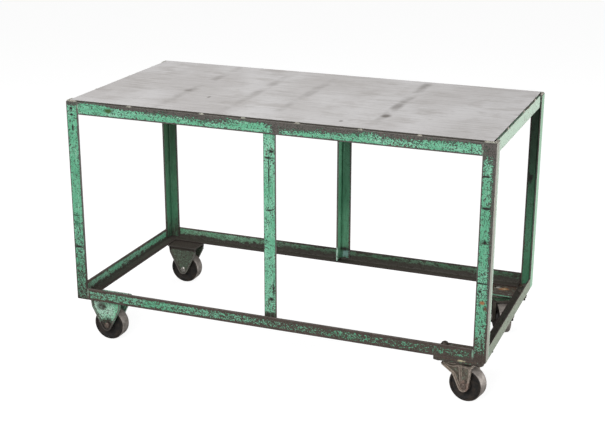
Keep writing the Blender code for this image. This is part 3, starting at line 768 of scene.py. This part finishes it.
def make_bars():
    left, middle, right = front_posts()
    # The back posts' darker paint and olive towards the top are painted shade under the table top
    shade = (0.10, 0.85, 0.93)
    back = dict(grain=GRAIN_Z, chips=-0.01, edge_wear=0.006, palette=SHADED_PAINT, shade=shade)
    bars = {
        "top_rail_front": ((0, -1, 1), dict(
            grain=GRAIN_X, chips=0.072, rubs=top_front_rubs(),
            marks=front_marks((-0.508, 0.7500, 0.014, 0.005, STAIN)))),
        "top_rail_back": ((0, 1, 1), dict(grain=GRAIN_X, chips=0.06)),
        "top_rail_left": ((-1, 0, 1), dict(grain=GRAIN_Y, chips=0.06)),
        "top_rail_right": ((1, 0, 1), dict(grain=GRAIN_Y, chips=0.085, end_inset=TOP_END_INSET)),
        "bottom_rail_front": ((0, -1, -1), dict(
            grain=GRAIN_X, chips=0.107, edge_wear=0.010, ledge=0.012, dirt=0.25,
            loss_rise=("X", -0.35, 0.25, 0.072))),
        "bottom_rail_back": ((0, 1, -1), dict(
            grain=GRAIN_X, chips=0.06, ledge=0.022, dirt=0.30, dirt_rise=("X", -0.45, -0.10, 0.35),
            palette=MOSSY_PAINT)),
        "bottom_rail_left": ((-1, 0, -1), dict(
            grain=GRAIN_Y, chips=0.06, edge_wear=0.009, dirt=0.38, ledge=0.019)),
        # Its right end face is painted pale, as if lit from the right: painted light
        "bottom_rail_right": ((1, 0, -1), dict(
            grain=GRAIN_Y, chips=0.08, dirt=0.55, ledge=0.05, lit_end_tones=(RAIL_END_LIT_PAINT, RAIL_END_LIT_METAL),
            end_inset=BOTTOM_END_INSET)),
        "post_front_left": ((-1, -1, 0), left),
        "post_front_middle": ((-1, -1, 0), middle),
        "post_front_right": ((1, -1, 0), right),
        "post_back_left": ((-1, 1, 0), back | dict(dirt=0.25, dirt_rise=("Z", 0.26, 0.15, 0.45))),
        "post_back_middle": ((-1, 1, 0), back | dict(
            shade=(0.35, 1.2, 0.45), dirt_rise=("Z", 0.22, 0.18, 0.4), marks=back_middle_marks())),
        # Its right end face is painted pale, as if lit from the right: painted light
        "post_back_right": ((1, 1, 0), back | dict(
            shade=(0.20, 0.90, 0.88), lit_end_tones=(tone(166, 204, 176), END_LIT_METAL), chips=0.02,
            marks=[((0.624, HALF_WIDTH, 0.496), (0.008, 0.02, 0.015), SOOT)])),
    }
    for index, (node, (heel, look)) in enumerate(bars.items()):
        paint = worn_paint(f"{node}_paint", seed=10 * index + 1, **look)
        angle_bar(f"{node}_iron", node, heel, paint)


def make_plate():
    """The top plate with a rounded upper edge and a slightly uneven surface."""
    low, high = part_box("top_plate")
    edge_round = 0.0006
    spacing = 0.03
    half_dip = 0.0001
    near_rim = 0.0011
    rows = stations(low.y + edge_round, high.y - edge_round, spacing)
    columns = stations(low.x + edge_round, high.x - edge_round, spacing)
    chance = random.Random(5)
    waves = [(chance.uniform(2, 9), chance.uniform(2, 9), chance.uniform(0, 6)) for _ in range(5)]

    def dip(x, y):
        """How far the surface lies below flat, up to 0.2 mm."""
        total = sum(math.sin(a * x + p) * math.cos(b * y - p) for a, b, p in waves)
        return half_dip * (1 + total / len(waves))

    work = bmesh.new()
    grid = [[work.verts.new((x, y, high.z - dip(x, y))) for x in columns] for y in rows]
    for row, next_row in zip(grid, grid[1:]):
        for column in range(len(columns) - 1):
            work.faces.new((row[column], row[column + 1], next_row[column + 1], next_row[column]))
    rim = [e for e in work.edges if e.is_boundary]
    centre = (low + high) / 2
    # Each step of the rim is (how far out, how far down); the last reaches the underside
    for outset, drop in ((0.0002, 0.0001), (0.0004, 0.0004), (0.0006, 0.0010), (0.0006, None)):
        grown = bmesh.ops.extrude_edge_only(work, edges=rim)["geom"]
        rim = [item for item in grown if isinstance(item, bmesh.types.BMEdge)]
        for vertex in {v for e in rim for v in e.verts}:
            for axis in (0, 1):
                reach = (high[axis] - centre[axis]) - edge_round + outset
                away = vertex.co[axis] - centre[axis]
                if abs(abs(away) - reach) < near_rim:
                    vertex.co[axis] = centre[axis] + math.copysign(reach, away)
            vertex.co.z = high.z - drop if drop is not None else low.z
    bmesh.ops.contextual_create(work, geom=rim)
    bmesh.ops.recalc_face_normals(work, faces=work.faces)
    mesh = bpy.data.meshes.new("top_plate_steel")
    work.to_mesh(mesh)
    work.free()
    piece = make_object("top_plate_steel", mesh, bare_plate())
    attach(piece, "frame")
    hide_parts("top_plate")


# Beads as (width, height)
SEAM_BEAD = (0.0065, 0.0011)
LUMP_BEAD = (0.0066, 0.0033)
STITCH_BEAD = (0.005, 0.0036)
FILL_BEAD = (0.004, 0.0008)


def make_welds():
    """Seams where the rails meet the posts, and a lump on each top corner."""
    painted = weld_metal("painted_weld", 0.85, 3)
    bare = weld_metal("bare_weld", 0.12, 9, 1.4)
    sunk = 0.0007
    stop = 0.003
    joint = HALF_LENGTH - LEG
    side_joint = HALF_WIDTH - LEG
    lump_x = HALF_LENGTH - 0.0045
    lump_z = FRAME_TOP + 0.0005
    levels = (
        ("top", FRAME_TOP - LEG, FRAME_TOP - stop),
        ("bottom", FRAME_BOTTOM + stop, FRAME_BOTTOM + LEG),
    )
    for y_sign, side in ((-1, "front"), (1, "back")):
        for x_sign, end in ((-1, "left"), (1, "right")):
            for level, low, high in levels:
                inset = HALF_LENGTH - max(abs(corner.x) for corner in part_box(f"{level}_rail_{end}"))
                on_face = (x_sign * joint, y_sign * (HALF_WIDTH - sunk))
                on_end = (x_sign * (HALF_LENGTH - inset - sunk), y_sign * side_joint)
                seams = (("face", on_face, (0, y_sign, 0)), ("end", on_end, (x_sign, 0, 0)))
                beads = [
                    bead([(*foot, low), (*foot, high)], *SEAM_BEAD, out, f"{side}{end}{level}{seam}")
                    for seam, foot, out in seams
                ]
                joined_piece(f"weld_{level}_{side}_{end}", beads, painted, "frame")
            around = [
                (x_sign * (joint + 0.002), y_sign * (HALF_WIDTH - 0.0028), lump_z),
                (x_sign * lump_x, y_sign * (HALF_WIDTH - 0.0030), lump_z),
                (x_sign * lump_x, y_sign * (side_joint + stop), lump_z),
            ]
            lump = bead(around, *LUMP_BEAD, (0, 0, 1), f"{side}{end}lump", pitch=0.006)
            joined_piece(f"corner_weld_{side}_{end}", [lump], bare, "frame")


def make_stitch_welds():
    """Short beads along the plate's edges, leaning outwards."""
    bare = bpy.data.materials["bare_weld"]
    half = 0.009
    lean = 0.3
    front = (-0.44, -0.206, -0.075, 0.088, 0.272, 0.44)
    ends = (-0.153, 0.055, 0.21)
    stitches = []
    for y_sign in (-1, 1):
        y = y_sign * (HALF_WIDTH - 0.0022)
        for x in front:
            path = [(x - half, y, FRAME_TOP), (x + half, y, FRAME_TOP)]
            stitches.append(bead(path, *STITCH_BEAD, (0, y_sign * lean, 1), f"stitch{y_sign}{x}"))
    for x_sign in (-1, 1):
        x = x_sign * (PLATE_HIGH.x + 0.0008)
        for y in ends:
            path = [(x, y - half, FRAME_TOP), (x, y + half, FRAME_TOP)]
            stitches.append(bead(path, *STITCH_BEAD, (x_sign * lean, 0, 1), f"stitch{x_sign}{y}"))
    joined_piece("stitch_welds", stitches, bare, "frame")


def make_corner_fills():
    """A small plate inside each left corner post's foot, level with the rails' flat legs."""
    paint = worn_paint("corner_fill_paint", 251, dirt=0.8, chips=0.05, palette=BROWN_PAINT)
    half = (LEG - THICKNESS) / 2
    cut = 0.0004
    low = FRAME_BOTTOM + 0.0006
    top = FRAME_BOTTOM + THICKNESS
    for y_sign, side in ((-1, "front"), (1, "back")):
        centre = (-(HALF_LENGTH - THICKNESS - half), y_sign * (HALF_WIDTH - THICKNESS - half))
        plate = prism(centre, half * math.sqrt(2), 4, low, top - cut, cut, math.pi / 4)
        inner = (centre[0] + half, centre[1] - y_sign * half)
        outer = (centre[0] - half, centre[1] + y_sign * half)
        ends = (("a", (inner[0], outer[1])), ("b", (outer[0], inner[1])))
        seams = [
            bead([(*inner, top), (*far, top)], *FILL_BEAD, (0, 0, 1), f"{side}{letter}")
            for letter, far in ends
        ]
        joined_piece(f"corner_fill_{side}_left", [plate, *seams], paint, "frame")


def make_rail_bolts():
    """The bolts that hang under the right end rail, with their washers and nuts."""
    dark = bpy.data.materials["dark_fastener"]
    # Each (y, thread radius, hanging length, how far below the frame it is tightened)
    bolts = (
        (0.240, 0.0042, 0.0240, 0.0066), (0.064, 0.0042, 0.0240, 0.0),
        (0.036, 0.0028, 0.0200, 0.0), (-0.196, 0.0028, 0.0190, 0.0),
    )
    x = HALF_LENGTH - 0.0090
    washer = 0.0014
    overlap = 0.0002
    shapes = []
    for y, thread, length, below in bolts:
        top = FRAME_BOTTOM - below
        nut = 1.7 * thread
        turn = y * 9
        shapes += [
            prism((x, y), 1.9 * thread, 24, top - washer, top, 0.0003),
            prism((x, y), nut, 6, top - washer - nut, top - washer + overlap, 0.0006, turn),
            prism((x, y), thread, 16, FRAME_BOTTOM - length, top, 0.0007),
        ]
    joined_piece("end_rail_bolts", shapes, dark, "frame")


# ---------------------------------------------------------------- casters

WHEEL_ROUND = 0.003
WHEEL_SIDES = 96
WHEEL_HALF_WIDTH = 0.0190
TREAD_FADE = 0.0040

# The rounding of fasteners' edges, and of the sleeves' and balls'
FINE = 0.0004
FINEST = 0.0003


def wheel_section(radius, half_width):
    """A cast wheel from the tread to the bore: rounded tread corners, a lip, a dished web and a hub."""
    bore = 0.0098
    hub = 0.0190
    hub_half = 0.0220
    rim_inside = radius - 0.0075
    dish = half_width - 0.0045
    upper = [
        (radius, 0.0),
        (radius, half_width * 0.5),
        (radius, half_width - WHEEL_ROUND),
        (radius - 0.0009, half_width - 0.0009),
        (radius - WHEEL_ROUND, half_width),
        (rim_inside + 0.0010, half_width),
        (rim_inside, half_width - 0.0008),
        (rim_inside - 0.0012, dish + 0.0008),
        (rim_inside - 0.0030, dish),
        ((rim_inside + hub) / 2, dish - 0.0004),
        (hub + 0.0030, dish),
        (hub + 0.0010, dish + 0.0012),
        (hub, hub_half - 0.0010),
        (hub - 0.0010, hub_half),
        (bore + 0.0008, hub_half),
        (bore, hub_half - 0.0008),
    ]
    lower = [(r, -h) for r, h in reversed(upper[1:])]
    return upper + lower


def make_wheel(body, iron):
    """The wheel of a body that has its CAD node's name."""
    joint = JOINTS[f"{body}_spin"]
    centre = Vector(joint["pos_m"])
    turn = Vector((0, 0, 1)).rotation_difference(Vector(joint["axis"]))
    radius = centre.z
    profile = wheel_section(radius, WHEEL_HALF_WIDTH)
    place = Matrix.Translation(centre) @ turn.to_matrix().to_4x4()
    mesh = closed_mesh(f"{body}_cast", *lathe(profile, WHEEL_SIDES, place))
    tread = []
    for r, _ in profile:
        tread += [max(0.0, min(1.0, (r - radius + TREAD_FADE) / TREAD_FADE))] * WHEEL_SIDES
    set_attribute(mesh, "tread", tread)
    piece = make_object(f"{body}_cast", mesh, iron)
    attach(piece, body)
    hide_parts(body)


def make_casters():
    iron = cast_iron()
    dark = plain_steel("dark_fastener", tone(58, 54, 50), tone(104, 98, 90), 0.45, 0.5, 1)
    bright = plain_steel("bright_pin", tone(150, 146, 138), tone(206, 204, 198), 0.30, 0.7, 5)
    dull = plain_steel("dull_pin", tone(84, 74, 67), tone(132, 118, 108), 0.50, 0.4, 7)
    foot = Vector(JOINTS["rigid_wheel_front_spin"]["pos_m"])
    axle_end = (foot.x, foot.y - 0.03, foot.z)
    # The rigid forks' bare edges are lightened strongly: partly worn metal, partly painted highlights
    fork_front = worn_paint(
        "rigid_fork_front_paint", 201, chips=0.065, edge_wear=0.002, dirt=0.05, palette=MINT_PAINT,
        worn_edge_highlight=(0.6, 0.0020), rubs=[(axle_end, (0.018, 0.02, 0.018))],
        smears=[
            (axle_end, (0.026, 0.02, 0.026)),
            ((foot.x - 0.016, foot.y - 0.03, foot.z + 0.062), (0.016, 0.03, 0.012)),
        ],
    )
    fork_back = worn_paint(
        "rigid_fork_back_paint", 211, chips=0.06, edge_wear=0.002, dirt=0.30, palette=GRIMY_PAINT,
        worn_edge_highlight=(0.6, 0.0020), dirt_rise=("Z", FRAME_BOTTOM - 0.022, FRAME_BOTTOM - 0.008, 0.9))
    swivel_foot = Vector(JOINTS["swivel_wheel_front_spin"]["pos_m"])
    # The front swivel fork's rib edges are lightened to a pale tone: partly worn metal, partly painted
    # highlights
    swivel_front = worn_paint(
        "swivel_fork_front_paint", 221, chips=0.08, edge_wear=0.004, dirt=0.30, palette=DIRTY_PAINT,
        worn_edge_highlight=(0.85, 0.0036), edge_highlight_tone=tone(186, 172, 158), dirt_rise=("Z", 0.10, 0.12, 0.3),
        marks=[(swivel_foot, (0.015, 0.06, 0.017), tone(134, 112, 102))])
    swivel_back = worn_paint(
        "swivel_fork_back_paint", 223, chips=0.06, edge_wear=0.002, dirt=0.15, palette=MOSSY_PAINT,
        dirt_rise=("Z", 0.120, 0.108, 0.9))
    plate_front = worn_paint(
        "swivel_plate_front_paint", 241, chips=0.09, edge_wear=0.003, dirt=0.45, palette=MOSSY_PAINT)
    plate_back = worn_paint("swivel_plate_back_paint", 243, chips=0.06, edge_wear=0.002, dirt=0.12)
    corner_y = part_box("corner_plate_back")[0].y
    corner_plates = worn_paint(
        "corner_plate_paint", 231, chips=0.03, edge_wear=0.002, dirt=0.35, palette=BROWN_PAINT,
        marks=[
            ((0.571, corner_y + 0.0355, 0.138), (0.016, 0.009, 0.01), RUST_SPOT),
            ((0.573, corner_y + 0.0350, 0.138), (0.005, 0.003, 0.01), CREAM),
            ((0.580, -HALF_WIDTH, 0.131), (0.010, 0.01, 0.006), CREAM),
        ])
    looks = (
        ("front", fork_front, swivel_front, plate_front, dull),
        ("back", fork_back, swivel_back, plate_back, bright),
    )
    for side, rigid, swivel, plate_paint, pin in looks:
        body = f"swivel_{side}"
        for kind, carrier, paint in (("rigid", "frame", rigid), ("swivel", body, swivel)):
            refined(f"{kind}_fork_{side}", paint, carrier)
            refined(f"{kind}_axle_{side}", pin, carrier, FINE)
            refined(f"{kind}_axle_nut_{side}", dark, carrier, FINE)
            refined(f"{kind}_axle_sleeve_{side}", bright, carrier, FINEST)
            make_wheel(f"{kind}_wheel_{side}", iron)
        refined(f"swivel_ball_ring_{side}", bright, body, FINEST)
        refined(f"corner_plate_{side}", corner_plates, "frame")
        refined(f"swivel_top_plate_{side}", plate_paint, "frame")
        refined(f"swivel_kingpin_{side}", bright, "frame", FINE)
        for index in range(1, 5):
            refined(f"plate_bolt_{side}_{index}", dark, "frame", FINE)
            refined(f"plate_nut_{side}_{index}", dark, "frame", FINE)


# ---------------------------------------------------------------- studio

CAMERA_PLACE = Vector((1.3264, -3.4315, 1.6198))
CAMERA_AZIMUTH = math.radians(21.4211)
CAMERA_ELEVATION = math.radians(18.8203)
CAMERA_ROLL = math.radians(0.0933)
CAMERA_LENS = 74.27
FLOOR_GLOW = 0.80
FLOOR_FILL = 0.10
FLOOR_HALF = 12.0
AMBIENT = 0.22


def make_camera():
    """Looks down at the table from its front right."""
    sin_a, cos_a = math.sin(CAMERA_AZIMUTH), math.cos(CAMERA_AZIMUTH)
    sin_e, cos_e = math.sin(CAMERA_ELEVATION), math.cos(CAMERA_ELEVATION)
    back = Vector((sin_a * cos_e, -cos_a * cos_e, sin_e))
    right = Vector((cos_a, sin_a, 0))
    up = back.cross(right)
    turned_right = right * math.cos(CAMERA_ROLL) + up * math.sin(CAMERA_ROLL)
    turned_up = up * math.cos(CAMERA_ROLL) - right * math.sin(CAMERA_ROLL)
    data = bpy.data.cameras.new("camera")
    data.lens = CAMERA_LENS
    data.sensor_width = 36
    data.clip_start = 0.05
    camera = bpy.data.objects.new("camera", data)
    bpy.context.scene.collection.objects.link(camera)
    turn = Matrix((turned_right, turned_up, back)).transposed()
    camera.matrix_world = Matrix.Translation(CAMERA_PLACE) @ turn.to_4x4()
    bpy.context.scene.camera = camera


def make_floor():
    """A pale floor that stays near white in view, and throws little light up under the table."""
    s = Shader("studio_floor")
    mottle = s.noise(2, 2, 0.5)
    colour = s.mix(mottle, (0.20, 0.20, 0.20, 1), (0.21, 0.21, 0.21, 1))
    path = s.tree.nodes.new("ShaderNodeLightPath")
    seen = s.times(path.outputs["Is Camera Ray"], FLOOR_GLOW)
    s.feed(s.surface.inputs["Emission Strength"], s.add(seen, FLOOR_FILL))
    s.surface.inputs["Emission Color"].default_value = (1, 1, 1, 1)
    corners = [(x * FLOOR_HALF, y * FLOOR_HALF, 0) for x, y in ((-1, -1), (1, -1), (1, 1), (-1, 1))]
    mesh = bpy.data.meshes.new("studio_floor")
    mesh.from_pydata(corners, [], [(0, 1, 2, 3)])
    floor = bpy.data.objects.new("studio_floor", mesh)
    mesh.materials.append(s.finish(colour, 0.9))
    bpy.context.scene.collection.objects.link(floor)


def make_world():
    """A white surround: bright where the camera sees it, softer as a light."""
    world = bpy.data.worlds.new("studio")
    world.use_nodes = True
    nodes = world.node_tree.nodes
    links = world.node_tree.links
    background = nodes["Background"]
    background.inputs["Color"].default_value = (1, 1, 1, 1)
    path = nodes.new("ShaderNodeLightPath")
    strength = nodes.new("ShaderNodeMapRange")
    strength.inputs["To Min"].default_value = AMBIENT
    strength.inputs["To Max"].default_value = 1.0
    links.new(path.outputs["Is Camera Ray"], strength.inputs["Value"])
    links.new(strength.outputs["Result"], background.inputs["Strength"])
    bpy.context.scene.world = world


def make_light(name, place, aim, size, power):
    data = bpy.data.lights.new(name, "AREA")
    data.shape = "RECTANGLE"
    data.size, data.size_y = size
    data.energy = power
    light = bpy.data.objects.new(name, data)
    bpy.context.scene.collection.objects.link(light)
    way = Vector(aim) - Vector(place)
    turn = way.to_track_quat("-Z", "Y").to_matrix().to_4x4()
    light.matrix_world = Matrix.Translation(Vector(place)) @ turn


def make_studio():
    make_camera()
    make_floor()
    make_world()
    make_light("key", (-0.2, -3.9, 2.6), (-0.1, 0, 0.4), (2.4, 2.0), 152)
    make_light("overhead", (-0.5, 0.6, 3.4), (-0.1, 0, 0.7), (3.0, 2.0), 62)
    make_light("right", (3.6, 0.7, 0.55), (0.6, 0, 0.4), (2.6, 1.3), 105)
    bpy.context.scene.view_settings.view_transform = "Standard"


make_studio()
make_bars()
make_plate()
make_welds()
make_stitch_welds()
make_casters()
make_corner_fills()
make_rail_bolts()
